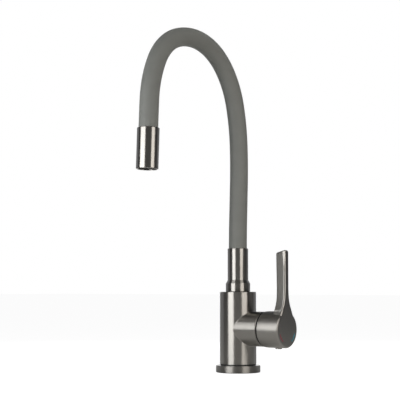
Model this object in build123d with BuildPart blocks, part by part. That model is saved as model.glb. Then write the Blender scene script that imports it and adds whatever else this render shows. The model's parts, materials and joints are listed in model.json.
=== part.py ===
from build123d import *
import math
import os

# Single-lever kitchen mixer with a bendable spout. Millimetres, +Z up.
# Origin: centre of the foot, on the surface it is bolted to. The spout's arch
# lies in the Y-Z plane and points to -Y; the valve and lever point to +X.

os.makedirs("parts", exist_ok=True)

# ---------------------------------------------------------------- dimensions
flange_r = 27.5            # rosette at the foot
flange_h = 8.8
spigot_r = 20.0            # lower end of the body, inside the rosette
seal_top = 10.4            # black ring between rosette and body
body_r = 22.6              # column
body_top = 99.0

valve_z = 53.6             # height of the valve axis (parallel to X)
housing_r = 21.3           # side housing
housing_end = 40.0
seat_x = 4.0               # floor of the cartridge bore
cart_r = 17.6              # cartridge bore, 35 mm cartridge
nut_bore_r = 19.2          # threaded mouth of the housing
nut_bore_x = 31.0
pivot_x = 28.0             # lever pivot inside the cartridge

hub_r = 22.1               # lever hub
hub_x0 = 42.3
hub_x1 = 73.0              # flat outer face of the lever
hub_cavity_r = 20.4
hub_cavity_x = 50.0
blade_back_low = 60.2      # slanted back of the blade: x at the valve axis and at the top
blade_back_top = 58.7
blade_half = 4.6           # half width of the blade
blade_top_in = 146.5       # slanted top, inner and outer corner
blade_top_out = 150.0

inlet_x, inlet_y, inlet_r = -4.0, 8.5, 4.5      # two M10x1 ports, tapping size
stud_x, stud_r, stud_depth = 12.0, 3.4, 18.0    # M8 stud, tapping size
swivel_r = 10.0            # bore that the spout turns in
swivel_z0 = 75.0

neck_z0 = 99.4             # spout base ring, cone and neck sleeve
ring_r = 15.25
cone_z0, cone_z1 = 109.6, 113.7
neck_r = 12.9
neck_top = 152.8
neck_bore_r = 11.4

hose_r = 11.25             # outside of the silicone cover
cover_r = 8.75             # its inside
core_r, core_in = 8.6, 7.5     # bendable metal tube
water_r, water_in = 6.2, 4.25  # water hose
ball_r, socket_r = 14.0, 14.3  # ends of the cover's pieces, centred on each bend point

nozzle_r = 12.9
nozzle_len = 47.3

# Centre line of the hose from the top of the neck: length of each run and how
# far it turns (degrees, towards -Y). Bend points lie between the runs.
hose_runs = [
    (30.0, -2.2), (50.0, 0.0), (50.0, 5.2), (50.0, 12.2), (50.0, 27.3),
    (50.0, 34.2), (50.0, 31.9), (50.0, 44.2), (50.0, 23.8), (33.0, 1.2),
]

# ------------------------------------------------------- centre line of spout
nodes = [(0.0, 0.0, neck_top, 0.0)]           # station, y, z, heading (radians)
for length, turn in hose_runs:
    s, y, z, h = nodes[-1]
    a = math.radians(turn)
    if abs(a) < 1e-9:
        y, z = y - length * math.sin(h), z + length * math.cos(h)
    else:
        r = length / a
        y, z = y + r * (math.cos(h + a) - math.cos(h)), z + r * (math.sin(h + a) - math.sin(h))
    nodes.append((s + length, y, z, h + a))
hose_end = nodes[-1][0]


def station(s):
    """Point and heading of the centre line; straight below the neck's top and in the nozzle."""
    if s <= 0:
        return 0.0, neck_top + s, 0.0
    if s >= hose_end:
        _, y, z, h = nodes[-1]
        d = s - hose_end
        return y - d * math.sin(h), z + d * math.cos(h), h
    for i, (length, turn) in enumerate(hose_runs):
        s0, y, z, h = nodes[i]
        if s <= s0 + length + 1e-9:
            d, a = s - s0, math.radians(turn) / length
            if abs(a) < 1e-12:
                return y - d * math.sin(h), z + d * math.cos(h), h
            k = h + a * d
            return y + (math.cos(k) - math.cos(h)) / a, z + (math.sin(k) - math.sin(h)) / a, k


def tangent(s):
    _, _, h = station(s)
    return Vector(0, -math.sin(h), math.cos(h))


def point(s):
    y, z, _ = station(s)
    return Vector(0, y, z)


def across(s):
    """Plane square to the centre line."""
    return Plane(origin=point(s), x_dir=(1, 0, 0), z_dir=tangent(s))


def along(s):
    """Plane that holds the centre line's tangent as its Y, for turned profiles."""
    t = tangent(s)
    return Plane(origin=point(s), x_dir=(1, 0, 0), z_dir=(0, -t.Z, t.Y))


def tube_run(s0, s1, r_in, r_out):
    """Hollow round run from station s0 to s1, straight and arc pieces end to end."""
    cuts = [s0] + [n[0] for n in nodes if s0 + 1e-6 < n[0] < s1 - 1e-6] + [s1]
    for a, b in zip(cuts[:-1], cuts[1:]):
        mid = (a + b) / 2
        rate = 0.0
        if 0 < mid < hose_end:
            i = max(j for j in range(len(hose_runs)) if nodes[j][0] <= mid)
            rate = math.radians(hose_runs[i][1]) / hose_runs[i][0]
        with BuildSketch(across(a)) as ring:
            Circle(r_out)
            Circle(r_in, mode=Mode.SUBTRACT)
        if abs(rate) < 1e-12:
            extrude(ring.sketch, amount=b - a)
        else:
            y, z, h = station(a)
            centre = (0, y - math.cos(h) / rate, z - math.sin(h) / rate)
            side = 1 if rate > 0 else -1
            revolve(ring.sketch, axis=Axis(centre, (side, 0, 0)), revolution_arc=math.degrees(abs(rate) * (b - a)))


valve_axis = Axis((0, 0, valve_z), (1, 0, 0))
nozzle_plane = along(hose_end)
nozzle_axis = Axis(point(hose_end), tangent(hose_end))

# ------------------------------------------------------------------ the foot
with BuildPart() as base_flange:
    with BuildSketch(Plane.XZ):
        with BuildLine():
            Polyline(
                (spigot_r + 0.15, 0), (21.0, 0), (21.0, 2.0), (25.5, 2.0), (25.5, 0),
                (flange_r - 1.0, 0), (flange_r - 0.3, 0.3), (flange_r, 1.0),
                (flange_r, flange_h - 0.5), (flange_r - 0.5, flange_h),
                (spigot_r + 0.15, flange_h), (spigot_r + 0.15, 0),
            )
        make_face()
    revolve(axis=Axis.Z)
base_flange.part.label = "base_flange"
export_step(base_flange.part, "parts/base_flange.step")

# flat gasket in the rosette's underside
with BuildPart() as base_gasket:
    with BuildSketch(Plane.XY):
        Circle(25.4)
        Circle(21.1, mode=Mode.SUBTRACT)
    extrude(amount=1.95)
base_gasket.part.label = "base_gasket"
export_step(base_gasket.part, "parts/base_gasket.step")

# black ring that shows as a thin line under the column
with BuildPart() as body_seal_ring:
    with BuildSketch(Plane.XY.offset(flange_h)):
        Circle(22.0)
        Circle(spigot_r + 0.1, mode=Mode.SUBTRACT)
    extrude(amount=seal_top - flange_h)
body_seal_ring.part.label = "body_seal_ring"
export_step(body_seal_ring.part, "parts/body_seal_ring.step")

# ------------------------------------------------- column with its side housing
port_y, port_z, port_r = 8.0, valve_z + 4.5, 3.0   # inlets in the cartridge seat
outlet_z = valve_z - 6.5                           # outlet in the cartridge seat
rise_x = -7.0                                      # waterway up to the spout

with BuildPart() as valve_body:
    with BuildSketch(Plane.XZ):
        with BuildLine():
            Polyline(
                (0, 0), (spigot_r, 0), (spigot_r, seal_top), (body_r, seal_top),
                (body_r, body_top - 0.5), (body_r - 0.5, body_top), (0, body_top), (0, 0),
            )
        make_face()
    revolve(axis=Axis.Z)
    with BuildSketch(Plane.XZ):
        with BuildLine():
            Polyline((0, valve_z), (0, valve_z + housing_r), (housing_end - 0.9, valve_z + housing_r))
            ThreePointArc(
                (housing_end - 0.9, valve_z + housing_r), (housing_end - 0.264, valve_z + housing_r - 0.264),
                (housing_end, valve_z + housing_r - 0.9),
            )
            Polyline((housing_end, valve_z + housing_r - 0.9), (housing_end, valve_z), (0, valve_z))
        make_face()
    revolve(axis=valve_axis)
    # small hollow rounding where the housing meets the column
    fillet(valve_body.edges().filter_by(GeomType.BSPLINE), radius=0.8)
    # cartridge bore and threaded mouth
    with BuildSketch(Plane.XZ):
        with BuildLine():
            Polyline(
                (seat_x, valve_z), (seat_x, valve_z + cart_r), (nut_bore_x, valve_z + cart_r),
                (nut_bore_x, valve_z + nut_bore_r), (housing_end + 1, valve_z + nut_bore_r),
                (housing_end + 1, valve_z), (seat_x, valve_z),
            )
        make_face()
    revolve(axis=valve_axis, mode=Mode.SUBTRACT)
    # bore that the spout turns in, with the groove of its retaining ring
    with BuildSketch(Plane.XZ):
        with BuildLine():
            Polyline(
                (0, swivel_z0), (swivel_r, swivel_z0), (swivel_r, 89.9), (11.6, 89.9), (11.6, 91.9),
                (swivel_r, 91.9), (swivel_r, body_top + 1), (0, body_top + 1), (0, swivel_z0),
            )
        make_face()
    revolve(axis=Axis.Z, mode=Mode.SUBTRACT)
    # hot and cold ways: threaded port, riser, cross hole to the seat
    with BuildSketch(Plane.XY):
        with Locations((inlet_x, -inlet_y), (inlet_x, inlet_y)):
            Circle(inlet_r)
    extrude(amount=14, mode=Mode.SUBTRACT)
    with BuildSketch(Plane.XY.offset(13)):
        with Locations((inlet_x, -inlet_y), (inlet_x, inlet_y)):
            Circle(3.6)
    extrude(amount=port_z + 3.6 - 13, mode=Mode.SUBTRACT)
    with BuildSketch(Plane.YZ.offset(inlet_x)):
        with Locations((-port_y, port_z), (port_y, port_z)):
            Circle(port_r)
    extrude(amount=seat_x - inlet_x + 0.5, mode=Mode.SUBTRACT)
    # mixed water: cross hole from the seat, riser to the spout
    with BuildSketch(Plane.YZ.offset(rise_x)):
        with Locations((0, outlet_z)):
            Circle(port_r)
    extrude(amount=seat_x - rise_x + 0.5, mode=Mode.SUBTRACT)
    with BuildSketch(Plane.XY.offset(outlet_z - 3.4)):
        with Locations((rise_x, 0)):
            Circle(3.4)
    extrude(amount=swivel_z0 - outlet_z + 4.0, mode=Mode.SUBTRACT)
    # two locating holes in the seat
    with BuildSketch(Plane.YZ.offset(seat_x - 2.6)):
        with Locations((-13.2, valve_z), (13.2, valve_z)):
            Circle(1.6)
    extrude(amount=3.0, mode=Mode.SUBTRACT)
    # hole for the fixing stud
    with BuildSketch(Plane.XY):
        with Locations((stud_x, 0)):
            Circle(stud_r)
    extrude(amount=stud_depth, mode=Mode.SUBTRACT)
valve_body.part.label = "valve_body"
export_step(valve_body.part, "parts/valve_body.step")

# ------------------------------------------------------------- the cartridge
ports = [(-port_y, port_z), (port_y, port_z), (0, outlet_z)]

with BuildPart() as cartridge_base:
    with BuildSketch(Plane.YZ.offset(seat_x + 0.05)):
        with Locations((0, valve_z)):
            Circle(17.3)
    extrude(amount=4.9)
    with BuildSketch(Plane.YZ.offset(seat_x - 2.3)):
        with Locations((-13.2, valve_z), (13.2, valve_z)):
            Circle(1.5)
    extrude(amount=2.6)
    with BuildSketch(Plane.YZ.offset(7.0)):            # recess for the fixed disc
        with Locations((0, valve_z)):
            Circle(13.25)
    extrude(amount=3, mode=Mode.SUBTRACT)
    with BuildSketch(Plane.YZ.offset(seat_x)):         # ports
        with Locations(*ports):
            Circle(port_r)
    extrude(amount=6, mode=Mode.SUBTRACT)
    with BuildSketch(Plane.YZ.offset(seat_x)):         # seal grooves round the ports
        with Locations(*ports):
            Circle(5.0)
            Circle(3.6, mode=Mode.SUBTRACT)
    extrude(amount=2.1, mode=Mode.SUBTRACT)
cartridge_base.part.label = "cartridge_base"
export_step(cartridge_base.part, "parts/cartridge_base.step")

with BuildPart() as cartridge_seals:
    with BuildSketch(Plane.YZ.offset(seat_x + 0.02)):
        with Locations(*ports):
            Circle(4.95)
            Circle(3.65, mode=Mode.SUBTRACT)
    extrude(amount=2.0)
cartridge_seals.part.label = "cartridge_seals"
export_step(cartridge_seals.part, "parts/cartridge_seals.step")

with BuildPart() as ceramic_disc_fixed:
    with BuildSketch(Plane.YZ.offset(7.02)):
        with Locations((0, valve_z)):
            Circle(13.2)
        with Locations(*ports):
            Circle(2.9, mode=Mode.SUBTRACT)
    extrude(amount=3.98)
ceramic_disc_fixed.part.label = "ceramic_disc_fixed"
export_step(ceramic_disc_fixed.part, "parts/ceramic_disc_fixed.step")

# sliding disc: its pocket joins the inlets to the outlet as it moves up
disc_z = valve_z - 2.0
with BuildPart() as ceramic_disc_moving:
    with BuildSketch(Plane.YZ.offset(11.04)):
        with Locations((0, disc_z)):
            Circle(11.5)
    extrude(amount=3.96)
    with BuildSketch(Plane.YZ.offset(11.04)):
        with Locations((0, valve_z - 4.35)):
            RectangleRounded(12.4, 10.3, 3.0)
    extrude(amount=2.4, mode=Mode.SUBTRACT)
ceramic_disc_moving.part.label = "ceramic_disc_moving"
export_step(ceramic_disc_moving.part, "parts/ceramic_disc_moving.step")

# plastic carrier on its back, with the pocket of the lever's ball and two guide tongues
with BuildPart() as disc_carrier:
    with BuildSketch(Plane.YZ.offset(15.03)):
        with Locations((0, disc_z)):
            Circle(11.5)
    extrude(amount=3.97)
    with BuildSketch(Plane.YZ.offset(19.0)):
        with Locations((-9.4, valve_z - 2.0), (9.4, valve_z - 2.0)):
            Rectangle(1.8, 8.0)
    extrude(amount=3.2)
    with BuildSketch(Plane.YZ.offset(15.45)):
        with Locations((0, valve_z)):
            Circle(3.4)
    extrude(amount=5, mode=Mode.SUBTRACT)
disc_carrier.part.label = "disc_carrier"
export_step(disc_carrier.part, "parts/disc_carrier.step")

with BuildPart() as cartridge_casing:
    with BuildSketch(Plane.XZ):
        with BuildLine():
            Polyline(
                (9.0, valve_z + 14.6), (9.0, valve_z + 17.3), (33.0, valve_z + 17.3),
                (33.0, valve_z + 11.5), (30.0, valve_z + 11.5), (30.0, valve_z + 14.6), (9.0, valve_z + 14.6),
            )
        make_face()
    revolve(axis=valve_axis)
cartridge_casing.part.label = "cartridge_casing"
export_step(cartridge_casing.part, "parts/cartridge_casing.step")

# rotor that the lever's pivot sits in; the slot gives the lever its tilt
with BuildPart() as cartridge_swivel:
    with BuildSketch(Plane.XZ):
        with BuildLine():
            Polyline(
                (21.0, valve_z), (21.0, valve_z + 14.3), (29.7, valve_z + 14.3), (29.7, valve_z + 11.2),
                (37.0, valve_z + 11.2), (37.0, valve_z), (21.0, valve_z),
            )
        make_face()
    revolve(axis=valve_axis)
    with BuildSketch(Plane.XZ):
        with BuildLine():
            Polyline(
                *[(pivot_x + x, valve_z + z) for x, z in (
                    (-7.6, -4.0), (0.0, -4.2), (9.6, -8.7), (9.6, 4.0),
                    (0.0, 4.2), (-3.0, 6.5), (-7.6, 7.2), (-7.6, -4.0))],
            )
        make_face()
    extrude(amount=4.25, both=True, mode=Mode.SUBTRACT)
    with BuildSketch(Plane.XZ):
        with Locations((pivot_x, valve_z)):
            Circle(1.5)
    extrude(amount=16, both=True, mode=Mode.SUBTRACT)
    with BuildSketch(Plane.YZ.offset(20.5)):           # guide grooves for the disc carrier
        with Locations((-9.4, valve_z), (9.4, valve_z)):
            Rectangle(2.3, 12.8)
    extrude(amount=2.2, mode=Mode.SUBTRACT)
cartridge_swivel.part.label = "cartridge_swivel"
export_step(cartridge_swivel.part, "parts/cartridge_swivel.step")

with BuildPart() as pivot_pin:
    with BuildSketch(Plane.XZ):
        with Locations((pivot_x, valve_z)):
            Circle(1.45)
    extrude(amount=10.8, both=True)
pivot_pin.part.label = "pivot_pin"
export_step(pivot_pin.part, "parts/pivot_pin.step")

# metal lever of the cartridge: ball inside, square bar out into the hub
with BuildPart() as cartridge_stem:
    with BuildSketch(Plane.XZ):
        with BuildLine():
            Polyline(
                (pivot_x - 8.0, valve_z), (pivot_x - 8.0, valve_z + 2.2), (pivot_x - 5.5, valve_z + 2.2),
                (pivot_x - 5.5, valve_z), (pivot_x - 8.0, valve_z),
            )
        make_face()
    revolve(axis=valve_axis)
    with Locations((pivot_x - 9.2, 0, valve_z)):
        Sphere(3.0)
    with BuildSketch(Plane.YZ.offset(pivot_x - 6.0)):
        with Locations((0, valve_z)):
            Rectangle(8.2, 7.0)
    extrude(amount=40.5)
    with BuildSketch(Plane.XZ):
        with Locations((pivot_x, valve_z)):
            Circle(1.5)
    extrude(amount=8, both=True, mode=Mode.SUBTRACT)
cartridge_stem.part.label = "cartridge_stem"
export_step(cartridge_stem.part, "parts/cartridge_stem.step")

# brass nut that clamps the cartridge, with six tool notches
with BuildPart() as cartridge_nut:
    with BuildSketch(Plane.YZ.offset(33.05)):
        with Locations((0, valve_z)):
            Circle(19.1)
            Circle(12.0, mode=Mode.SUBTRACT)
    extrude(amount=6.4)
    with BuildSketch(Plane.YZ.offset(37.4)):
        with Locations((0, valve_z)):
            with PolarLocations(13.0, 6):
                Rectangle(3.2, 4.0)
    extrude(amount=3, mode=Mode.SUBTRACT)
cartridge_nut.part.label = "cartridge_nut"
export_step(cartridge_nut.part, "parts/cartridge_nut.step")

# black ring that closes the housing's mouth behind the hub
with BuildPart() as cover_ring:
    with BuildSketch(Plane.XZ):
        with BuildLine():
            Polyline(
                (39.5, valve_z + 11.8), (39.5, valve_z + 19.0), (housing_end + 0.05, valve_z + 19.0),
                (housing_end + 0.05, valve_z + 20.2), (41.1, valve_z + 20.2), (41.5, valve_z + 19.8),
                (41.5, valve_z + 11.8), (39.5, valve_z + 11.8),
            )
        make_face()
    revolve(axis=valve_axis)
cover_ring.part.label = "cover_ring"
export_step(cover_ring.part, "parts/cover_ring.step")

# ----------------------------------------------------------------- the lever
# Outline of the flat face: the hub's circle, then hollow flanks up to the blade.
flank = [(12.0, 21.1), (9.6, 26.0), (7.45, 30.8), (5.8, 36.5), (4.9, 44.0)]
q = (hub_r - 0.25) / math.sqrt(2)     # the flanks start just inside the hub
cap_x, cap_r = 60.4, 4.0

with BuildPart() as handle:
    # the blade first: the outline of the face, narrowing a little towards the back
    for x, inset in ((hub_x1, 0.0), (55, 1.45)):
        with BuildSketch(Plane.YZ.offset(x)):
            with BuildLine():
                root, half = q - inset * 0.7, blade_half - inset
                Spline(
                    (root, valve_z + root), *[(y - inset, valve_z + z) for y, z in flank], (half, valve_z + 52.0),
                    tangents=((-1, 1), (0, 1)),
                )
                Line((half, valve_z + 52.0), (half, blade_top_out + 3))
                Line((half, blade_top_out + 3), (-half, blade_top_out + 3))
                Line((-half, blade_top_out + 3), (-half, valve_z + 52.0))
                Spline(
                    (-half, valve_z + 52.0), *[(inset - y, valve_z + z) for y, z in reversed(flank)],
                    (-root, valve_z + root), tangents=((0, -1), (-1, -1)),
                )
                Line((-root, valve_z + root), (0, valve_z))
                Line((0, valve_z), (root, valve_z + root))
            make_face()
    loft(ruled=True)
    # its slanted back and top
    with BuildSketch(Plane.XZ):
        with BuildLine():
            Polyline(
                (50, valve_z - 5), (blade_back_low, valve_z - 5), (blade_back_low, valve_z),
                (blade_back_top, blade_top_in), (hub_x1 + 1, blade_top_out + 0.25),
                (hub_x1 + 1, blade_top_out + 9), (50, blade_top_out + 9), (50, valve_z - 5),
            )
        make_face()
    extrude(amount=30, both=True, mode=Mode.SUBTRACT)
    # round top corners and a well rounded back
    top = handle.faces().sort_by(Axis.Z)[-1]
    fillet(top.edges().filter_by(lambda e: abs(e.center().Y) > 2.5), radius=2.8)
    back = handle.faces().filter_by(lambda f: f.normal_at().X < -0.9).sort_by(Axis.X)[0]
    fillet(back.edges().filter_by(lambda e: e.center().Z > valve_z + 20), radius=2.4)
    # hollow hub, its rim bevelled
    with BuildSketch(Plane.XZ):
        with BuildLine():
            Polyline(
                (hub_x0, valve_z + hub_cavity_r), (hub_x0, valve_z + 21.0), (hub_x0 + 0.9, valve_z + 21.8),
                (hub_x0 + 5.0, valve_z + hub_r), (hub_x1, valve_z + hub_r),
                (hub_x1, valve_z), (hub_cavity_x, valve_z), (hub_cavity_x, valve_z + hub_cavity_r),
                (hub_x0, valve_z + hub_cavity_r),
            )
        make_face()
    revolve(axis=valve_axis)
    # rounding all round the face
    face = handle.faces().filter_by(lambda f: f.normal_at().X > 0.99).sort_by(Axis.X)[-1]
    fillet(face.outer_wire().edges(), radius=2.2)
    # flats that widen up the blade's front corners
    for side in (-1, 1):
        edge = Vector(-5, 0, 43)
        out = edge.cross(Vector(5, -side * 1.063, 0)).normalized()
        out = out if out.Y * side > 0 else -out
        with BuildSketch(Plane(origin=(68, side * blade_half, valve_z + 95), x_dir=edge, z_dir=out)):
            with Locations((-17, 0)):
                Rectangle(54, 24)
        extrude(amount=6, mode=Mode.SUBTRACT)
    # socket for the cartridge's bar
    with BuildSketch(Plane.YZ.offset(hub_cavity_x - 1)):
        with Locations((0, valve_z)):
            Rectangle(8.3, 7.1)
    extrude(amount=14, mode=Mode.SUBTRACT)
    # grub screw hole and the recess of its cap, from below
    with BuildSketch(Plane.XY.offset(valve_z - 24)):
        with Locations((cap_x, 0)):
            Circle(cap_r + 0.05)
    extrude(amount=24 - 18.4, mode=Mode.SUBTRACT)
    with BuildSketch(Plane.XY.offset(valve_z - 20)):
        with Locations((cap_x, 0)):
            Circle(2.55)
    extrude(amount=18, mode=Mode.SUBTRACT)
    # shallow recesses for the two colour marks
    with BuildSketch(Plane.YZ.offset(hub_x1 - 0.3)):
        with BuildLine():
            CenterArc((0, valve_z), 16.1, -57, 40)
            CenterArc((0, valve_z), 17.1, -57, 40)
            for a in (-57, -17):
                c, s = math.cos(math.radians(a)), math.sin(math.radians(a))
                Line((16.1 * c, valve_z + 16.1 * s), (17.1 * c, valve_z + 17.1 * s))
        make_face()
        mirror(about=Plane.YZ)
    extrude(amount=1, mode=Mode.SUBTRACT)
handle.part.label = "handle"
export_step(handle.part, "parts/handle.step")

with BuildPart() as cold_mark:
    with BuildSketch(Plane.YZ.offset(hub_x1 - 0.28)):
        with BuildLine():
            CenterArc((0, valve_z), 16.14, -56.9, 39.8)
            CenterArc((0, valve_z), 17.06, -56.9, 39.8)
            for a in (-56.9, -17.1):
                c, s = math.cos(math.radians(a)), math.sin(math.radians(a))
                Line((16.14 * c, valve_z + 16.14 * s), (17.06 * c, valve_z + 17.06 * s))
        make_face()
    extrude(amount=0.28)
cold_mark.part.label = "cold_mark"
export_step(cold_mark.part, "parts/cold_mark.step")

with BuildPart() as hot_mark:
    with BuildSketch(Plane.YZ.offset(hub_x1 - 0.28)):
        with BuildLine():
            CenterArc((0, valve_z), 16.14, 197.1, 39.8)
            CenterArc((0, valve_z), 17.06, 197.1, 39.8)
            for a in (197.1, 236.9):
                c, s = math.cos(math.radians(a)), math.sin(math.radians(a))
                Line((16.14 * c, valve_z + 16.14 * s), (17.06 * c, valve_z + 17.06 * s))
        make_face()
    extrude(amount=0.28)
hot_mark.part.label = "hot_mark"
export_step(hot_mark.part, "parts/hot_mark.step")

# M5 grub screw with a hexagon socket
with BuildPart() as handle_grub_screw:
    with BuildSketch(Plane.XY.offset(valve_z - 11.55)):
        with Locations((cap_x, 0)):
            Circle(2.5)
    extrude(amount=8.0)
    with BuildSketch(Plane.XY.offset(valve_z - 11.55)):
        with Locations((cap_x, 0)):
            RegularPolygon(1.25, 6, major_radius=False)
    extrude(amount=3.0, mode=Mode.SUBTRACT)
handle_grub_screw.part.label = "handle_grub_screw"
export_step(handle_grub_screw.part, "parts/handle_grub_screw.step")

with BuildPart() as screw_cap:
    with BuildSketch(Plane.XY.offset(valve_z - 23.4)):
        with Locations((cap_x, 0)):
            Circle(cap_r)
    extrude(amount=4.9)
    chamfer(screw_cap.edges().group_by(Axis.Z)[0], length=0.4)
screw_cap.part.label = "screw_cap"
export_step(screw_cap.part, "parts/screw_cap.step")

# ------------------------------------------------------- swivel of the spout
with BuildPart() as spout_retaining_ring:
    with BuildSketch(Plane.XY.offset(90.1)):
        Circle(11.5)
        Circle(9.0, mode=Mode.SUBTRACT)
        with Locations((0, 10.5)):
            Rectangle(4, 6, mode=Mode.SUBTRACT)        # the ring is split
    extrude(amount=1.6)
spout_retaining_ring.part.label = "spout_retaining_ring"
export_step(spout_retaining_ring.part, "parts/spout_retaining_ring.step")

with BuildPart() as swivel_tail:
    with BuildSketch(Plane.XZ):
        with BuildLine():
            Polyline(
                (6.0, 76.0), (9.95, 76.0), (9.95, 76.8), (8.85, 76.8), (8.85, 79.2), (9.95, 79.2),
                (9.95, 80.4), (7.55, 80.4), (7.55, 83.2), (9.95, 83.2),
                (9.95, 85.0), (7.55, 85.0), (7.55, 87.8), (9.95, 87.8),
                (9.95, 89.8), (8.8, 89.8), (8.8, 92.0), (9.95, 92.0),
                (9.95, 94.0), (8.85, 94.0), (8.85, 97.0), (9.95, 97.0),
                (9.95, 111.0), (6.0, 111.0), (6.0, 76.0),
            )
        make_face()
    revolve(axis=Axis.Z)
swivel_tail.part.label = "swivel_tail"
export_step(swivel_tail.part, "parts/swivel_tail.step")

with BuildPart() as swivel_o_rings:
    with BuildSketch(Plane.XZ):
        with Locations((8.75, 81.8), (8.75, 86.4)):
            Circle(1.15)
    revolve(axis=Axis.Z)
swivel_o_rings.part.label = "swivel_o_rings"
export_step(swivel_o_rings.part, "parts/swivel_o_rings.step")

with BuildPart() as swivel_slip_rings:
    with BuildSketch(Plane.XY.offset(76.9)):
        Circle(9.97)
        Circle(8.9, mode=Mode.SUBTRACT)
    extrude(amount=2.2)
    with BuildSketch(Plane.XY.offset(94.1)):
        Circle(9.97)
        Circle(8.9, mode=Mode.SUBTRACT)
    extrude(amount=2.8)
swivel_slip_rings.part.label = "swivel_slip_rings"
export_step(swivel_slip_rings.part, "parts/swivel_slip_rings.step")

with BuildPart() as swivel_washer:
    with BuildSketch(Plane.XY.offset(body_top + 0.02)):
        Circle(14.6)
        Circle(10.1, mode=Mode.SUBTRACT)
    extrude(amount=0.37)
swivel_washer.part.label = "swivel_washer"
export_step(swivel_washer.part, "parts/swivel_washer.step")

# ring, cone and neck sleeve, turned in one piece
with BuildPart() as spout_base:
    with BuildSketch(Plane.XZ):
        with BuildLine():
            Polyline(
                (10.0, neck_z0), (ring_r - 0.3, neck_z0), (ring_r, neck_z0 + 0.3), (ring_r, cone_z0 - 0.2),
                (neck_r, cone_z1), (neck_r, neck_top - 0.7), (neck_r - 0.25, neck_top - 0.2),
                (neck_r - 0.8, neck_top), (neck_bore_r, neck_top), (neck_bore_r, 111.5), (10.0, 111.5),
                (10.0, neck_z0),
            )
        make_face()
    revolve(axis=Axis.Z)
spout_base.part.label = "spout_base"
export_step(spout_base.part, "parts/spout_base.step")

# ---------------------------------------------------------- lower hose ends
with BuildPart() as gooseneck_collar_lower:
    with BuildSketch(Plane.XY.offset(111.6)):
        Circle(11.35)
        Circle(8.65, mode=Mode.SUBTRACT)
    extrude(amount=5.4)
gooseneck_collar_lower.part.label = "gooseneck_collar_lower"
export_step(gooseneck_collar_lower.part, "parts/gooseneck_collar_lower.step")

# spigot, flange and barbs of a hose tail, from the flange outwards
def tail_profile(place):
    pts = [(2.8, -8.0), (5.95, -8.0), (5.95, 0), (7.2, 0), (7.2, 3.0), (3.7, 3.0)]
    for k in range(4):
        b = 4.6 + 4.4 * k
        pts += [(3.7, b), (4.15, b), (3.7, b + 3.6)]
    pts += [(3.7, 22.0), (2.8, 22.0), (2.8, -8.0)]
    return [place(r, d) for r, d in pts]


with BuildPart() as hose_tail_lower:
    with BuildSketch(Plane.XZ):
        with BuildLine():
            Polyline(*tail_profile(lambda r, d: (r, 111.0 + d)))
        make_face()
    revolve(axis=Axis.Z)
hose_tail_lower.part.label = "hose_tail_lower"
export_step(hose_tail_lower.part, "parts/hose_tail_lower.step")

with BuildPart() as crimp_sleeve_lower:
    with BuildSketch(Plane.XZ):
        with BuildLine():
            Polyline(
                (6.25, 115.0), (7.25, 115.0), (7.25, 118.0), (7.05, 118.6), (7.05, 120.4), (7.25, 121.0),
                (7.25, 125.0), (7.05, 125.6), (7.05, 127.4), (7.25, 128.0), (7.25, 132.0), (6.25, 132.0), (6.25, 115.0),
            )
        make_face()
    revolve(axis=Axis.Z)
crimp_sleeve_lower.part.label = "crimp_sleeve_lower"
export_step(crimp_sleeve_lower.part, "parts/crimp_sleeve_lower.step")

# ---------------------------------------------------------- hose, end to end
with BuildPart() as gooseneck_core:
    tube_run(111.7 - neck_top, hose_end + 22.0, core_in, core_r)
gooseneck_core.part.label = "gooseneck_core"
export_step(gooseneck_core.part, "parts/gooseneck_core.step")

with BuildPart() as inner_hose:
    tube_run(114.2 - neck_top, hose_end + 19.8, water_in, water_r)
inner_hose.part.label = "inner_hose"
export_step(inner_hose.part, "parts/inner_hose.step")

# Silicone cover, cut into ten pieces at the bend points. Each piece ends in a
# ball-shaped face centred on its bend point, which the next piece's hollow faces.
cover_ends = [117.1 - neck_top] + [n[0] for n in nodes[1:-1]] + [hose_end + 17.0]
for i in range(10):
    s0, s1 = cover_ends[i], cover_ends[i + 1]
    with BuildPart() as cover_piece:
        tube_run(s0, s1 + (13.0 if i < 9 else 0.0), cover_r, hose_r)
        if i < 9:
            with BuildSketch(along(s1)):
                with BuildLine():
                    edge = 12.6
                    low = math.sqrt(ball_r ** 2 - edge ** 2)
                    Line((0, ball_r), (0, 22))
                    Line((0, 22), (edge, 22))
                    Line((edge, 22), (edge, low))
                    mid = math.radians(60)
                    ThreePointArc((edge, low), (ball_r * math.cos(mid), ball_r * math.sin(mid)), (0, ball_r))
                make_face()
            revolve(axis=Axis(point(s1), tangent(s1)), mode=Mode.SUBTRACT)
        if i > 0:
            with Locations(point(s0)):
                Sphere(socket_r, mode=Mode.SUBTRACT)
    cover_piece.part.label = f"spout_hose_{i + 1}"
    export_step(cover_piece.part, f"parts/spout_hose_{i + 1}.step")

# ----------------------------------------------------------------- the nozzle
# profiles are (radius, distance down from the nozzle's top edge)
with BuildPart() as nozzle_sleeve:
    with BuildSketch(nozzle_plane):
        with BuildLine():
            Polyline(
                (neck_bore_r, 0), (nozzle_r - 0.8, 0), (nozzle_r - 0.25, 0.2), (nozzle_r, 0.7),
                (nozzle_r, nozzle_len - 0.5), (nozzle_r - 0.5, nozzle_len), (11.0, nozzle_len),
                (11.0, 23.0), (neck_bore_r, 22.6), (neck_bore_r, 0),
            )
        make_face()
    revolve(axis=nozzle_axis)
nozzle_sleeve.part.label = "nozzle_sleeve"
export_step(nozzle_sleeve.part, "parts/nozzle_sleeve.step")

with BuildPart() as gooseneck_collar_upper:
    with BuildSketch(across(hose_end + 17.1)):
        Circle(11.35)
        Circle(8.65, mode=Mode.SUBTRACT)
    extrude(amount=5.3)
gooseneck_collar_upper.part.label = "gooseneck_collar_upper"
export_step(gooseneck_collar_upper.part, "parts/gooseneck_collar_upper.step")

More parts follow.
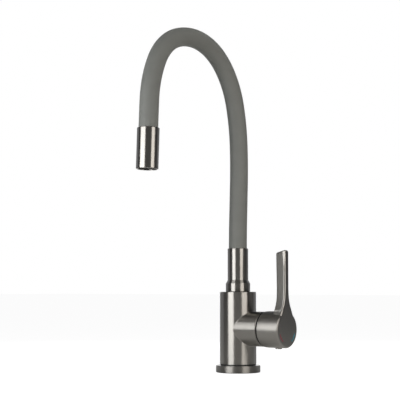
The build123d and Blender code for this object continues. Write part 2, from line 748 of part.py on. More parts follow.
with BuildPart() as hose_tail_upper:
    with BuildSketch(nozzle_plane):
        with BuildLine():
            Polyline(*tail_profile(lambda r, d: (r, 23.0 - d)))
        make_face()
    revolve(axis=nozzle_axis)
hose_tail_upper.part.label = "hose_tail_upper"
export_step(hose_tail_upper.part, "parts/hose_tail_upper.step")

with BuildPart() as crimp_sleeve_upper:
    with BuildSketch(nozzle_plane):
        with BuildLine():
            Polyline(
                (6.25, 2.0), (7.25, 2.0), (7.25, 6.0), (7.05, 6.6), (7.05, 8.4), (7.25, 9.0),
                (7.25, 13.0), (7.05, 13.6), (7.05, 15.4), (7.25, 16.0), (7.25, 19.0), (6.25, 19.0), (6.25, 2.0),
            )
        make_face()
    revolve(axis=nozzle_axis)
crimp_sleeve_upper.part.label = "crimp_sleeve_upper"
export_step(crimp_sleeve_upper.part, "parts/crimp_sleeve_upper.step")

with BuildPart() as nozzle_insert:
    with BuildSketch(nozzle_plane):
        with BuildLine():
            Polyline(
                (6.0, 23.1), (10.9, 23.1), (10.9, 26.0), (9.2, 26.0), (9.2, 28.8), (10.9, 28.8),
                (10.9, 35.0), (8.6, 35.0), (6.0, 32.0), (6.0, 23.1),
            )
        make_face()
    revolve(axis=nozzle_axis)
nozzle_insert.part.label = "nozzle_insert"
export_step(nozzle_insert.part, "parts/nozzle_insert.step")

with BuildPart() as nozzle_o_ring:
    with BuildSketch(nozzle_plane):
        with Locations((10.1, 27.4)):
            Circle(0.85)
    revolve(axis=nozzle_axis)
nozzle_o_ring.part.label = "nozzle_o_ring"
export_step(nozzle_o_ring.part, "parts/nozzle_o_ring.step")

with BuildPart() as aerator_seal:
    with BuildSketch(across(hose_end + 35.05)):
        Circle(10.8)
        Circle(8.2, mode=Mode.SUBTRACT)
    extrude(amount=1.5)
aerator_seal.part.label = "aerator_seal"
export_step(aerator_seal.part, "parts/aerator_seal.step")

with BuildPart() as aerator_housing:
    with BuildSketch(nozzle_plane):
        with BuildLine():
            Polyline(
                (8.4, 36.6), (10.9, 36.6), (10.9, 46.2), (10.5, 46.6), (9.6, 46.6), (9.2, 46.2), (9.2, 38.4),
                (8.4, 38.4), (8.4, 36.6),
            )
        make_face()
    revolve(axis=nozzle_axis)
aerator_housing.part.label = "aerator_housing"
export_step(aerator_housing.part, "parts/aerator_housing.step")

# stream former: a plate with rings of small holes and an outlet grid
with BuildPart() as aerator_insert:
    with BuildSketch(across(hose_end + 38.5)):
        Circle(9.1)
        with PolarLocations(6.6, 16):
            Circle(0.7, mode=Mode.SUBTRACT)
        with PolarLocations(4.2, 10):
            Circle(0.7, mode=Mode.SUBTRACT)
        with PolarLocations(1.9, 5):
            Circle(0.7, mode=Mode.SUBTRACT)
    extrude(amount=4.5)
aerator_insert.part.label = "aerator_insert"
export_step(aerator_insert.part, "parts/aerator_insert.step")

# two fine screens below it
with BuildPart() as aerator_screens:
    for d in (43.4, 44.8):
        with BuildSketch(across(hose_end + d)):
            Circle(9.0)
            with GridLocations(2.0, 2.0, 7, 7):
                Rectangle(1.5, 1.5, mode=Mode.SUBTRACT)
        extrude(amount=0.5)
aerator_screens.part.label = "aerator_screens"
export_step(aerator_screens.part, "parts/aerator_screens.step")

# bend points of the hose: height, reach and heading of each
for i, (s, y, z, h) in enumerate(nodes):
    print("bend", i, "station", round(s, 3), "y", round(y, 4), "z", round(z, 4), "heading", round(math.degrees(h), 4))
y, z, h = station(hose_end + nozzle_len)
print("outlet y", round(y, 4), "z", round(z, 4))
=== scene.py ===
import json
import math

import bpy
from mathutils import Matrix, Vector

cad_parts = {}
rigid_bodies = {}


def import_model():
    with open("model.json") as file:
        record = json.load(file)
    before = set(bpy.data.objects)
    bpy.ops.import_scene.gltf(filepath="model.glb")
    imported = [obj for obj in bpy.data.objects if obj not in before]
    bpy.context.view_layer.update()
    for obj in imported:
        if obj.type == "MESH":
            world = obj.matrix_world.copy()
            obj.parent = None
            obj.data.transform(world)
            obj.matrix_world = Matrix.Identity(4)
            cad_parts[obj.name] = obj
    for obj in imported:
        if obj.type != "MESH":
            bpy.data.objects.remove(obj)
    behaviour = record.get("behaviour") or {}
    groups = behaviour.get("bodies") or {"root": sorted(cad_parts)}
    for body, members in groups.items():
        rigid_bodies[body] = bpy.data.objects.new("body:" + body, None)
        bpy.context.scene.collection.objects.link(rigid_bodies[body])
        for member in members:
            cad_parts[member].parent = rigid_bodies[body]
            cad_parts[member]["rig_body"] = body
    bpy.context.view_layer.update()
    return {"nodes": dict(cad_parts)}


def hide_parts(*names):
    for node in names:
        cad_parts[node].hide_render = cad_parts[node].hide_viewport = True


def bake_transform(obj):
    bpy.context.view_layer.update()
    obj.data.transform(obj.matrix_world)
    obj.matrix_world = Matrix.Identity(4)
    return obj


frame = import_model()
nodes = frame["nodes"]
SCENE = bpy.context.scene
MM = 0.001


# ------------------------------------------------------------------ node graph
class Graph:
    """Small helper that strings shader nodes together."""

    def __init__(self, tree):
        self.tree = tree

    def node(self, kind, inputs=None, **settings):
        n = self.tree.nodes.new(kind)
        for key, value in settings.items():
            setattr(n, key, value)
        for key, value in (inputs or {}).items():
            self.put(n.inputs[key], value)
        return n

    def put(self, socket, value):
        if isinstance(value, bpy.types.NodeSocket):
            self.tree.links.new(value, socket)
        else:
            socket.default_value = value

    def math(self, operation, a, b=0.0, c=0.0, clamp=False):
        n = self.node("ShaderNodeMath", operation=operation, use_clamp=clamp)
        for socket, value in zip(n.inputs, (a, b, c)):
            self.put(socket, value)
        return n.outputs[0]

    def vector(self, operation, a, b=(0, 0, 0), out=0):
        n = self.node("ShaderNodeVectorMath", operation=operation)
        self.put(n.inputs[0], a)
        self.put(n.inputs[1], b)
        return n.outputs[out]

    def scaled(self, a, k):
        n = self.node("ShaderNodeVectorMath", operation="SCALE")
        self.put(n.inputs[0], a)
        self.put(n.inputs["Scale"], k)
        return n.outputs[0]

    def split(self, a):
        return self.node("ShaderNodeSeparateXYZ", {0: a}).outputs

    def join(self, x, y, z):
        return self.node("ShaderNodeCombineXYZ", {0: x, 1: y, 2: z}).outputs[0]

    def step(self, value, low, high, to_low=0.0, to_high=1.0, smooth=True):
        n = self.node("ShaderNodeMapRange", interpolation_type="SMOOTHSTEP" if smooth else "LINEAR")
        for socket, v in zip(n.inputs, (value, low, high, to_low, to_high)):
            self.put(socket, v)
        return n.outputs[0]

    def mix(self, factor, a, b):
        n = self.node("ShaderNodeMix", data_type="RGBA")
        self.put(n.inputs[0], factor)
        self.put(n.inputs[6], a)
        self.put(n.inputs[7], b)
        return n.outputs[2]

    def mixv(self, factor, a, b):
        n = self.node("ShaderNodeMix", data_type="VECTOR")
        self.put(n.inputs[0], factor)
        self.put(n.inputs[4], a)
        self.put(n.inputs[5], b)
        return n.outputs[1]

    def noise(self, vector, scale, detail=2.0, roughness=0.5, lacunarity=2.0):
        n = self.node("ShaderNodeTexNoise", {"Vector": vector, "Scale": scale, "Detail": detail,
                                             "Roughness": roughness, "Lacunarity": lacunarity})
        return n.outputs[0]

    def ramp(self, value, stops):
        n = self.node("ShaderNodeValToRGB", {0: value})
        e = n.color_ramp.elements
        while len(e) < len(stops):
            e.new(0.5)
        for item, (at, colour) in zip(e, stops):
            item.position, item.color = at, (*colour, 1)
        return n.outputs[0]

    def bump(self, height, distance, strength=1.0, normal=None):
        n = self.node("ShaderNodeBump", {"Height": height, "Distance": distance, "Strength": strength})
        if normal is not None:
            self.put(n.inputs["Normal"], normal)
        return n.outputs[0]


def material(name, **values):
    """A Principled material; values go on the shader's own sockets."""
    m = bpy.data.materials.new(name)
    m.use_nodes = True
    g = Graph(m.node_tree)
    shader = m.node_tree.nodes["Principled BSDF"]
    for key, value in values.items():
        shader.inputs[key.replace("_", " ")].default_value = value
    g.shader = shader
    g.position = g.node("ShaderNodeTexCoord").outputs["Object"]
    return m, g


def shade(rgb, k):
    return tuple(min(1.0, c * k) for c in rgb)


def both(rgb):
    return (*rgb, 1.0)


# ------------------------------------------------------------- centre of spout
HOSE_RUNS = [
    (30.0, -2.2), (50.0, 0.0), (50.0, 5.2), (50.0, 12.2), (50.0, 27.3),
    (50.0, 34.2), (50.0, 31.9), (50.0, 44.2), (50.0, 23.8), (33.0, 1.2),
]
NECK_TOP = 152.8
KNOTS = [(0.0, 0.0, NECK_TOP, 0.0)]
for run, turn in HOSE_RUNS:
    s, y, z, h = KNOTS[-1]
    a = math.radians(turn)
    if abs(a) < 1e-9:
        y, z = y - run * math.sin(h), z + run * math.cos(h)
    else:
        r = run / a
        y, z = y + r * (math.cos(h + a) - math.cos(h)), z + r * (math.sin(h + a) - math.sin(h))
    KNOTS.append((s + run, y, z, h + a))
HOSE_END = KNOTS[-1][0]


def station(s):
    """Height, reach and heading of the spout's centre line, in millimetres and radians."""
    if s <= 0:
        return 0.0, NECK_TOP + s, 0.0
    if s >= HOSE_END:
        _, y, z, h = KNOTS[-1]
        d = s - HOSE_END
        return y - d * math.sin(h), z + d * math.cos(h), h
    for i, (run, turn) in enumerate(HOSE_RUNS):
        s0, y, z, h = KNOTS[i]
        if s <= s0 + run + 1e-9:
            d, a = s - s0, math.radians(turn) / run
            if abs(a) < 1e-12:
                return y - d * math.sin(h), z + d * math.cos(h), h
            k = h + a * d
            return y + (math.cos(k) - math.cos(h)) / a, z + (math.sin(k) - math.sin(h)) / a, k


def centre(s):
    y, z, _ = station(s)
    return Vector((0, y, z)) * MM


def heading(s):
    _, _, h = station(s)
    return Vector((0, -math.sin(h), math.cos(h)))


# ------------------------------------------------------------------- materials
VALVE_AXIS = ((0, 0, 0.0536), (1, 0, 0))
COLUMN_AXIS = ((0, 0, 0), (0, 0, 1))
NOZZLE_AXIS = (tuple(centre(HOSE_END)), tuple(heading(HOSE_END)))
GUNMETAL = (0.420, 0.407, 0.382)


def turned(g, position, axis):
    """Direction round a turned surface, and the place along its axis."""
    point, direction = axis
    away = g.vector("SUBTRACT", position, point)
    round_it = g.vector("CROSS_PRODUCT", direction, away)
    along = g.vector("DOT_PRODUCT", away, direction, out=1)
    out = g.vector("LENGTH", round_it, out=1)
    return round_it, along, out


def to_world(g, v):
    n = g.node("ShaderNodeVectorTransform", {0: v}, vector_type="VECTOR", convert_from="OBJECT", convert_to="WORLD")
    return g.vector("NORMALIZE", n.outputs[0])


def metal(name, axis, second=None, choose=None, colour=GUNMETAL, rough=0.32, anisotropic=0.99, lines=1.0, second_rough=0.385):
    """Brushed, warm grey metal with its fine lines running round the turned form."""
    m, g = material(name, Metallic=1.0, Roughness=rough, Anisotropic=anisotropic, Anisotropic_Rotation=0.25)
    p = g.position
    round_it, along, out = turned(g, p, axis)
    if second:
        round_2, along_2, out_2 = turned(g, p, second)
        which = choose(g, p)
        round_it = g.mixv(which, round_it, round_2)
        along = g.math("ADD", g.math("MULTIPLY", along, g.math("SUBTRACT", 1.0, which)), g.math("MULTIPLY", along_2, which))
        out = g.math("ADD", g.math("MULTIPLY", out, g.math("SUBTRACT", 1.0, which)), g.math("MULTIPLY", out_2, which))
    g.put(g.shader.inputs["Tangent"], to_world(g, round_it))
    # lines: fast along the axis and the radius, slow round the form
    stretched = g.vector("ADD", g.scaled(p, 18.0), g.join(g.math("MULTIPLY", along, 2600.0), g.math("MULTIPLY", out, 2600.0), 0.0))
    fine = g.noise(stretched, 1.0, detail=3.0, roughness=0.6)
    broad = g.noise(p, 55.0, detail=2.0, roughness=0.55)
    wear = g.noise(p, 420.0, detail=4.0, roughness=0.6)
    tone = g.math("ADD", g.math("MULTIPLY", g.math("SUBTRACT", fine, 0.5), 0.16 * lines),
                  g.math("ADD", g.math("MULTIPLY", g.math("SUBTRACT", broad, 0.5), 0.06), g.math("MULTIPLY", g.math("SUBTRACT", wear, 0.5), 0.03)))
    level = g.math("ADD", tone, 0.5)
    g.put(g.shader.inputs["Base Color"], g.ramp(level, [(0.38, shade(colour, 0.93)), (0.5, colour), (0.62, shade(colour, 1.07))]))
    spread = g.step(level, 0.38, 0.62, rough - 0.018, rough + 0.018, smooth=False)
    if second:
        spread = g.math("ADD", spread, g.math("MULTIPLY", which, second_rough - rough))
    g.put(g.shader.inputs["Roughness"], spread)
    g.put(g.shader.inputs["Normal"], g.bump(fine, 0.000004 * lines, 0.35))
    return m


def silicone(name):
    """Matt moulded silicone: soft, faintly mottled, with a very fine bloom on it."""
    m, g = material(name, Roughness=0.62, IOR=1.41, Sheen_Weight=0.12, Sheen_Roughness=0.45, Subsurface_Weight=0.0)
    g.shader.inputs["Sheen Tint"].default_value = (0.95, 0.95, 0.9, 1)
    p = g.position
    cloud = g.noise(p, 70.0, detail=3.0, roughness=0.55)
    grain = g.noise(p, 2600.0, detail=2.0, roughness=0.6)
    base = (0.215, 0.222, 0.208)
    level = g.math("ADD", g.math("MULTIPLY", cloud, 0.8), g.math("MULTIPLY", grain, 0.2))
    g.put(g.shader.inputs["Base Color"], g.ramp(level, [(0.3, shade(base, 0.955)), (0.5, base), (0.7, shade(base, 1.045))]))
    g.put(g.shader.inputs["Roughness"], g.step(cloud, 0.3, 0.7, 0.59, 0.66, smooth=False))
    skin = g.bump(grain, 0.00001, 0.35)
    g.put(g.shader.inputs["Normal"], g.bump(cloud, 0.00006, 0.25, skin))
    return m


def rubber(name, colour, rough=0.6):
    m, g = material(name, Roughness=rough, IOR=1.5)
    p = g.position
    grain = g.noise(p, 1800.0, detail=3.0, roughness=0.6)
    dust = g.noise(p, 160.0, detail=3.0, roughness=0.6)
    g.put(g.shader.inputs["Base Color"], g.ramp(dust, [(0.3, shade(colour, 0.85)), (0.55, colour), (0.75, shade(colour, 1.5))]))
    g.put(g.shader.inputs["Roughness"], g.step(grain, 0.3, 0.7, rough - 0.05, rough + 0.06, smooth=False))
    g.put(g.shader.inputs["Normal"], g.bump(grain, 0.00002, 0.3))
    return m


def plastic(name, colour, rough=0.42):
    m, g = material(name, Roughness=rough, IOR=1.48)
    p = g.position
    grain = g.noise(p, 1300.0, detail=2.0, roughness=0.5)
    flow = g.noise(g.vector("MULTIPLY", p, (60.0, 60.0, 220.0)), 1.0, detail=3.0)
    g.put(g.shader.inputs["Base Color"], g.ramp(flow, [(0.3, shade(colour, 0.94)), (0.5, colour), (0.7, shade(colour, 1.05))]))
    g.put(g.shader.inputs["Roughness"], g.step(grain, 0.3, 0.7, rough - 0.05, rough + 0.05, smooth=False))
    g.put(g.shader.inputs["Normal"], g.bump(grain, 0.000015, 0.3))
    return m


def plain_metal(name, colour, rough, axis, lines=1.0):
    return metal(name, axis, colour=colour, rough=rough, anisotropic=0.5, lines=lines)


def paint(name, colour):
    """Enamel filled into the shallow recess of a colour mark."""
    m, g = material(name, Roughness=0.3, IOR=1.5, Coat_Weight=0.3, Coat_Roughness=0.15)
    cloud = g.noise(g.position, 900.0, detail=3.0)
    g.put(g.shader.inputs["Base Color"], g.ramp(cloud, [(0.3, shade(colour, 0.9)), (0.5, colour), (0.7, shade(colour, 1.1))]))
    g.put(g.shader.inputs["Normal"], g.bump(cloud, 0.00002, 0.3))
    return m


def braid(name):
    """Woven cover of the water hose: two families of crossing strands."""
    m, g = material(name, Roughness=0.5, IOR=1.5)
    uv = g.node("ShaderNodeTexCoord").outputs["UV"]
    u, v, _ = g.split(uv)
    a = g.math("SINE", g.math("MULTIPLY", g.math("ADD", g.math("MULTIPLY", u, 12.0), g.math("MULTIPLY", v, 1.0)), 2 * math.pi))
    b = g.math("SINE", g.math("MULTIPLY", g.math("SUBTRACT", g.math("MULTIPLY", u, 12.0), g.math("MULTIPLY", v, 1.0)), 2 * math.pi))
    weave = g.math("MAXIMUM", a, b)
    colour = (0.62, 0.62, 0.6)
    g.put(g.shader.inputs["Base Color"], g.ramp(g.step(weave, -1.0, 1.0), [(0.0, shade(colour, 0.35)), (0.5, shade(colour, 0.8)), (1.0, colour)]))
    g.put(g.shader.inputs["Normal"], g.bump(weave, 0.0002, 0.6))
    return m


def outside_column(g, p):
    x, y, _ = g.split(p)
    out = g.math("SQRT", g.math("ADD", g.math("MULTIPLY", x, x), g.math("MULTIPLY", y, y)))
    return g.math("GREATER_THAN", out, 0.02263)


def lever_metal(name, rough=0.436, side_rough=0.455, face_rough=0.35, anisotropic=0.833):
    """The hub is turned; the flat face and the blade are brushed across."""
    m, g = material(name, Metallic=1.0, Roughness=rough, Anisotropic=anisotropic, Anisotropic_Rotation=0.25)
    p = g.position
    round_it, along, out = turned(g, p, VALVE_AXIS)
    normal = g.node("ShaderNodeTexCoord").outputs["Normal"]
    across = g.vector("CROSS_PRODUCT", normal, (0, 0, 1))
    _, _, z = g.split(p)
    nx, _, _ = g.split(normal)
    face = g.step(nx, 0.90, 0.985)
    blade = g.math("MAXIMUM", g.step(z, 0.0745, 0.0785), face)
    g.put(g.shader.inputs["Tangent"], to_world(g, g.mixv(blade, g.vector("NORMALIZE", round_it), g.vector("NORMALIZE", across))))
    # fine lines: round the hub, level on the blade and face
    hub_lines = g.noise(g.vector("ADD", g.scaled(p, 18.0), g.join(g.math("MULTIPLY", along, 2600.0), g.math("MULTIPLY", out, 2600.0), 0.0)),
                        1.0, detail=3.0, roughness=0.6)
    flat_lines = g.noise(g.vector("MULTIPLY", p, (22.0, 22.0, 2600.0)), 1.0, detail=3.0, roughness=0.6)
    fine = g.math("ADD", g.math("MULTIPLY", hub_lines, g.math("SUBTRACT", 1.0, blade)), g.math("MULTIPLY", flat_lines, blade))
    broad = g.noise(p, 55.0, detail=2.0, roughness=0.55)
    tone = g.math("ADD", g.math("MULTIPLY", g.math("SUBTRACT", fine, 0.5), 0.14),
                  g.math("MULTIPLY", g.math("SUBTRACT", broad, 0.5), 0.05))
    level = g.math("ADD", tone, 0.5)
    g.put(g.shader.inputs["Base Color"], g.ramp(level, [(0.38, shade(GUNMETAL, 0.93)), (0.5, GUNMETAL), (0.62, shade(GUNMETAL, 1.07))]))
    base_rough = g.step(blade, 0.0, 1.0, rough, g.step(nx, 0.12, 0.40, side_rough, face_rough), smooth=False)
    g.put(g.shader.inputs["Roughness"], g.math("ADD", base_rough, g.step(level, 0.38, 0.62, -0.018, 0.018, smooth=False)))
    g.put(g.shader.inputs["Normal"], g.bump(fine, 0.000004, 0.35))
    return m


MATS = {
    "metal_column": metal("metal_column", COLUMN_AXIS),
    "metal_body": metal("metal_body", COLUMN_AXIS, VALVE_AXIS, outside_column),
    "metal_nozzle": metal("metal_nozzle", NOZZLE_AXIS),
    "metal_lever": lever_metal("metal_lever"),
    # painted shade: the foot is the column's gunmetal darkened to 0.9 for the light falling off near the worktop; its
    # rougher finish is its own
    "metal_foot_shaded": metal("metal_foot_shaded", COLUMN_AXIS, colour=(0.378, 0.366, 0.344), rough=0.42, anisotropic=0.95),
    "metal_cap": metal("metal_cap", ((0.0604, 0, 0), (0, 0, 1)), rough=0.42, anisotropic=0.6),
    "steel": plain_metal("steel", (0.56, 0.55, 0.53), 0.34, COLUMN_AXIS),
    "steel_valve": plain_metal("steel_valve", (0.56, 0.55, 0.53), 0.34, VALVE_AXIS),
    "steel_nozzle": plain_metal("steel_nozzle", (0.56, 0.55, 0.53), 0.34, NOZZLE_AXIS),
    "brass": plain_metal("brass", (0.71, 0.49, 0.22), 0.33, COLUMN_AXIS),
    "brass_valve": plain_metal("brass_valve", (0.71, 0.49, 0.22), 0.33, VALVE_AXIS),
    "brass_nozzle": plain_metal("brass_nozzle", (0.71, 0.49, 0.22), 0.33, NOZZLE_AXIS),
    "silicone": silicone("silicone"),
    "black_rubber": rubber("black_rubber", (0.018, 0.018, 0.018)),
    "black_plastic": plastic("black_plastic", (0.014, 0.014, 0.015), rough=0.6),
    "white_plastic": plastic("white_plastic", (0.68, 0.67, 0.63)),
    "ceramic": plastic("ceramic", (0.74, 0.72, 0.66), rough=0.22),
    "water_hose": braid("water_hose"),
    "hot_red": paint("hot_red", (0.42, 0.03, 0.07)),
    "cold_blue": paint("cold_blue", (0.06, 0.50, 0.66)),
}
AXIS_OF = {
    "column": "", "cartridge_rotor": "_valve", "disc": "_valve", "lever": "_valve", "spout_foot": "", "nozzle": "_nozzle",
}
OWN = {
    "valve_body": "metal_body", "handle": "metal_lever", "screw_cap": "metal_cap", "base_flange": "metal_foot_shaded",
}


def material_of(name, obj):
    if name in OWN:
        return OWN[name]
    slot = obj.data.materials[0].name.split(".")[0] if obj.data.materials and obj.data.materials[0] else "metal"
    body = obj["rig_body"]
    if slot == "metal":
        return {"nozzle": "metal_nozzle"}.get(body, "metal_column")
    if slot in ("steel", "brass"):
        own = AXIS_OF.get(body, "")
        if body == "column" and name.startswith("cartridge"):
            own = "_valve"
        return slot + own
    return slot


for name, obj in nodes.items():
    chosen = MATS[material_of(name, obj)]
    if obj.material_slots:
        for place in obj.material_slots:
            place.material = chosen
    else:
        obj.data.materials.append(chosen)


# -------------------------------------------------------------------- the hose
def swept_tube(name, s0, s1, outer, inner, spacing, sides, mat, relief=None):
    """Closed tube along the centre line from s0 to s1 (millimetres), with a skin and a bore."""
    count = max(2, int(round((s1 - s0) / spacing)) + 1)
    verts, faces, uvs = [], [], []
    for shell, radius in ((0, outer), (1, inner)):
        for i in range(count):
            s = s0 + (s1 - s0) * i / (count - 1)
            y, z, h = station(s)
            side = Vector((0, math.cos(h), math.sin(h)))
            for k in range(sides):
                t = 2 * math.pi * k / sides
                r = radius + (relief(s, t) if relief and shell == 0 else 0.0)
                p = Vector((0, y, z)) + Vector((1, 0, 0)) * (r * math.cos(t)) + side * (r * math.sin(t))
                verts.append(p * MM)
    ring = lambda shell, i, k: (shell * count + i) * sides + k % sides
    for i in range(count - 1):
        for k in range(sides):
            faces.append((ring(0, i, k), ring(0, i, k + 1), ring(0, i + 1, k + 1), ring(0, i + 1, k)))
            uvs.append([(k, i), (k + 1, i), (k + 1, i + 1), (k, i + 1)])
            faces.append((ring(1, i, k), ring(1, i + 1, k), ring(1, i + 1, k + 1), ring(1, i, k + 1)))
            uvs.append([(k, i), (k, i + 1), (k + 1, i + 1), (k + 1, i)])
    for i in (0, count - 1):
        for k in range(sides):
            quad = [ring(0, i, k), ring(1, i, k), ring(1, i, k + 1), ring(0, i, k + 1)]
            flat = [(k, i), (k, i), (k + 1, i), (k + 1, i)]
            if i:
                quad.reverse()
                flat.reverse()
            faces.append(tuple(quad))
            uvs.append(flat)
    mesh = bpy.data.meshes.new(name)
    mesh.from_pydata([tuple(v) for v in verts], [], faces)
    layer = mesh.uv_layers.new(name="UVMap")
    at = 0
    for face in uvs:
        for k, i in face:
            s = s0 + (s1 - s0) * i / (count - 1)
            layer.data[at].uv = (k / sides, s / (2 * math.pi * outer))
            at += 1
    mesh.validate()
    mesh.update()
    for poly in mesh.polygons:
        poly.use_smooth = True
    mesh.set_sharp_from_angle(angle=math.radians(50))
    obj = bpy.data.objects.new(name, mesh)
    SCENE.collection.objects.link(obj)
    mesh.materials.append(mat)
    return obj


def wound(s, t):
    """Strip wound in a spiral: a rounded ridge every 4 mm."""
    phase = (s / 4.0 - t / (2 * math.pi)) % 1.0
    return -0.45 * (0.5 - 0.5 * math.cos(2 * math.pi * phase)) ** 0.8


BENDS = [k[0] for k in KNOTS[1:-1]]
for kind, outer, inner, first, last, spacing, sides, mat, relief, slot in (
    ("hose_skin", 11.25, 8.75, 117.1 - NECK_TOP, HOSE_END + 17.0, 1.6, 72, MATS["silicone"], None, "silicone"),
    ("hose_gooseneck", 8.6, 7.5, 111.7 - NECK_TOP, HOSE_END + 22.0, 0.667, 36, MATS["steel"], wound, "steel"),
    ("hose_water", 6.2, 4.25, 114.2 - NECK_TOP, HOSE_END + 19.8, 2.5, 32, MATS["water_hose"], None, "water_hose"),
):
    for k, bend in enumerate(BENDS):
        s0 = first if k == 0 else (BENDS[k - 1] + bend) / 2
        s1 = last if k == len(BENDS) - 1 else (bend + BENDS[k + 1]) / 2
        piece = swept_tube(f"{kind}_{k + 1}", s0, s1, outer, inner, spacing, sides, mat, relief)
        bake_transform(piece)
        if kind == "hose_skin":
            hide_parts(f"spout_hose_{k + 1}", *(["spout_hose_10"] if k == len(BENDS) - 1 else []))
        elif k == 0:
            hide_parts({"hose_gooseneck": "gooseneck_core", "hose_water": "inner_hose"}[kind])

# ------------------------------------------------------------------- the stage
AWAY = math.radians(37.7)
PITCH = math.radians(4.29)
forward_flat = Vector((-math.sin(AWAY), math.cos(AWAY), 0))
right = Vector((math.cos(AWAY), math.sin(AWAY), 0))
eye = -(right * 47.2 + forward_flat * 1445.0) * MM
eye.z = 0.105
forward = forward_flat * math.cos(PITCH) + Vector((0, 0, math.sin(PITCH)))
up = forward_flat * -math.sin(PITCH) + Vector((0, 0, math.cos(PITCH)))

camera_data = bpy.data.cameras.new("camera")
camera_data.lens = 104.31
camera_data.sensor_width = 36.0
camera_data.clip_start, camera_data.clip_end = 0.01, 100.0
camera = bpy.data.objects.new("camera", camera_data)
SCENE.collection.objects.link(camera)
camera.matrix_world = Matrix.Translation(eye) @ Matrix((right, up, -forward)).transposed().to_4x4()
SCENE.camera = camera


def softbox(name, middle, aim, width, height, radiance, colour):
    """A rectangular light; radiance is what a mirror would show of it."""
    data = bpy.data.lights.new(name, "AREA")
    data.shape = "RECTANGLE"
    data.size, data.size_y = width, height
    data.energy = radiance * math.pi * width * height
    data.color = colour
    obj = bpy.data.objects.new(name, data)
    SCENE.collection.objects.link(obj)
    look = (Vector(aim) - Vector(middle)).normalized()
    side = look.cross(Vector((0, 0, 1))).normalized()
    obj.matrix_world = Matrix.Translation(Vector(middle)) @ Matrix((side, side.cross(look), -look)).transposed().to_4x4()
    obj.visible_camera = False
    return obj


# what the brushed metal shows
for light in (
    softbox("key", (-0.0975, -0.521, 0.255), (0, 0, 0.255), 0.353, 0.45, 2.95, (1.0, 1.0, 1.0)),
    softbox("key_core", (-0.0965, -0.516, 0.16), (0, 0, 0.16), 0.29, 0.24, 1.25, (1.0, 1.0, 1.0)),
    softbox("fill_edge", (0.545, 0.045, 0.26), (0, 0, 0.26), 0.09, 0.40, 0.55, (1.0, 0.96, 0.92)),
):
    light.visible_diffuse = False
softbox("fill", (0.531, -0.129, 0.26), (0, 0, 0.26), 0.33, 0.40, 2.3, (1.0, 0.95, 0.9))
softbox("fill_core", (0.528, -0.128, 0.36), (0, 0, 0.36), 0.30, 0.28, 0.9, (1.0, 0.96, 0.92))
# what models the matt hose
for light in (
    softbox("key_soft", (-0.109, -0.529, 0.26), (0, 0, 0.26), 0.33, 0.42, 3.0, (1.0, 1.0, 1.0)),
    softbox("fill_soft", (0.541, -0.131, 0.30), (0, 0, 0.30), 0.33, 0.40, 1.0, (1.0, 0.95, 0.9)),
    softbox("top", (0.10, -0.10, 1.15), (0.0, -0.08, 0.0), 0.5, 0.5, 2.4, (1.0, 1.0, 1.0)),
):
    light.visible_glossy = False
# the far side, which the camera doesn't see
softbox("back", (-0.462, 0.591, 0.21), (0, 0, 0.21), 0.50, 0.36, 1.3, (1.0, 1.0, 1.0))
softbox("back_soft", (-0.470, 0.601, 0.42), (0, 0, 0.22), 0.50, 0.55, 1.6, (1.0, 1.0, 1.0)).visible_glossy = False


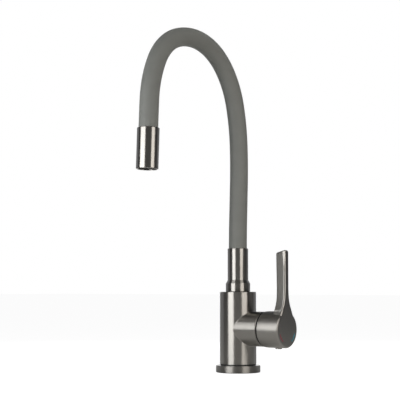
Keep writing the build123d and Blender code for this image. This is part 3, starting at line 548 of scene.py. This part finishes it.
def floor(name, z, size, seen, glow=0.34):
    mesh = bpy.data.meshes.new(name)
    mesh.from_pydata([(-size, -size, z), (size, -size, z), (size, size, z), (-size, size, z)], [], [(0, 1, 2, 3)])
    obj = bpy.data.objects.new(name, mesh)
    SCENE.collection.objects.link(obj)
    obj.visible_camera = seen
    if seen:
        obj.visible_diffuse = obj.visible_glossy = obj.visible_transmission = obj.visible_shadow = False
    m, g = material(name, Roughness=0.5)
    if seen:
        g.shader.inputs["Base Color"].default_value = (0.25, 0.25, 0.25, 1)
        g.shader.inputs["Roughness"].default_value = 0.9
        g.shader.inputs["Specular IOR Level"].default_value = 0.0
        g.shader.inputs["Emission Color"].default_value = (1, 1, 1, 1)
        g.shader.inputs["Emission Strength"].default_value = 0.94
    else:
        # the lit worktop round the foot, as the metal shows it
        x, y, _ = g.split(g.position)
        out = g.math("SQRT", g.math("ADD", g.math("MULTIPLY", x, x), g.math("MULTIPLY", y, y)))
        # painted shadow of the foot: the glow is dark within 30 to 42 mm of the axis
        lit = g.math("MULTIPLY", g.step(out, 0.030, 0.042), g.step(out, 0.42, 0.38))
        # behind it and on the left the worktop is out of the light
        for ux, uy, low, high, amount in ((-0.087, 0.996, 0.55, 0.9, 0.65), (-0.866, -0.5, 0.80, 0.95, 0.5)):
            towards = g.math("DIVIDE", g.math("ADD", g.math("MULTIPLY", x, ux), g.math("MULTIPLY", y, uy)), g.math("MAXIMUM", out, 0.001))
            dim = g.math("MULTIPLY", g.step(towards, low, high), g.step(out, 0.07, 0.11, 0.0, amount))
            lit = g.math("MULTIPLY", lit, g.math("SUBTRACT", 1.0, dim))
        g.shader.inputs["Base Color"].default_value = (0.12, 0.12, 0.12, 1)
        g.shader.inputs["Roughness"].default_value = 0.8
        g.put(g.shader.inputs["Emission Color"], g.mix(lit, (0.15, 0.15, 0.15, 1), (1.0, 0.985, 0.945, 1)))
        g.shader.inputs["Emission Strength"].default_value = glow
    mesh.materials.append(m)
    return obj


floor("floor", 0.0, 12.0, True)
floor("floor_light", -0.0004, 2.0, False).visible_diffuse = False
floor("floor_bounce", -0.0008, 2.0, False, 0.16).visible_glossy = False

world = bpy.data.worlds.new("studio")
SCENE.world = world
world.use_nodes = True
g = Graph(world.node_tree)
background = world.node_tree.nodes["Background"]
way = g.node("ShaderNodeTexCoord").outputs["Generated"]
wx, wy, wz = g.split(way)
flat = g.math("SQRT", g.math("ADD", g.math("MULTIPLY", wx, wx), g.math("MULTIPLY", wy, wy)))
towards = g.math("DIVIDE", g.math("ADD", g.math("MULTIPLY", wx, -forward_flat.x), g.math("MULTIPLY", wy, -forward_flat.y)),
                 g.math("MAXIMUM", flat, 0.001))
side = g.math("ADD", g.math("MULTIPLY", wx, right.x), g.math("MULTIPLY", wy, right.y))
behind = g.mix(g.math("GREATER_THAN", side, 0.0), g.step(towards, -0.25, -0.36), g.step(towards, -0.40, -0.52))
low = g.step(wz, 0.75, 0.5)
room = g.math("MULTIPLY", behind, low)
dark = g.mix(g.step(towards, 0.35, 0.8), (0.033, 0.034, 0.036, 1), (0.118, 0.117, 0.112, 1))
colour = g.mix(room, dark, (0.342, 0.35, 0.368, 1))
seen = g.node("ShaderNodeLightPath").outputs["Is Camera Ray"]
g.put(background.inputs["Color"], g.mix(seen, colour, (1, 1, 1, 1)))
background.inputs["Strength"].default_value = 1.0

SCENE.view_settings.view_transform = "Standard"
SCENE.view_settings.look = "None"
SCENE.view_settings.exposure = 0.0
SCENE.view_settings.gamma = 1.0
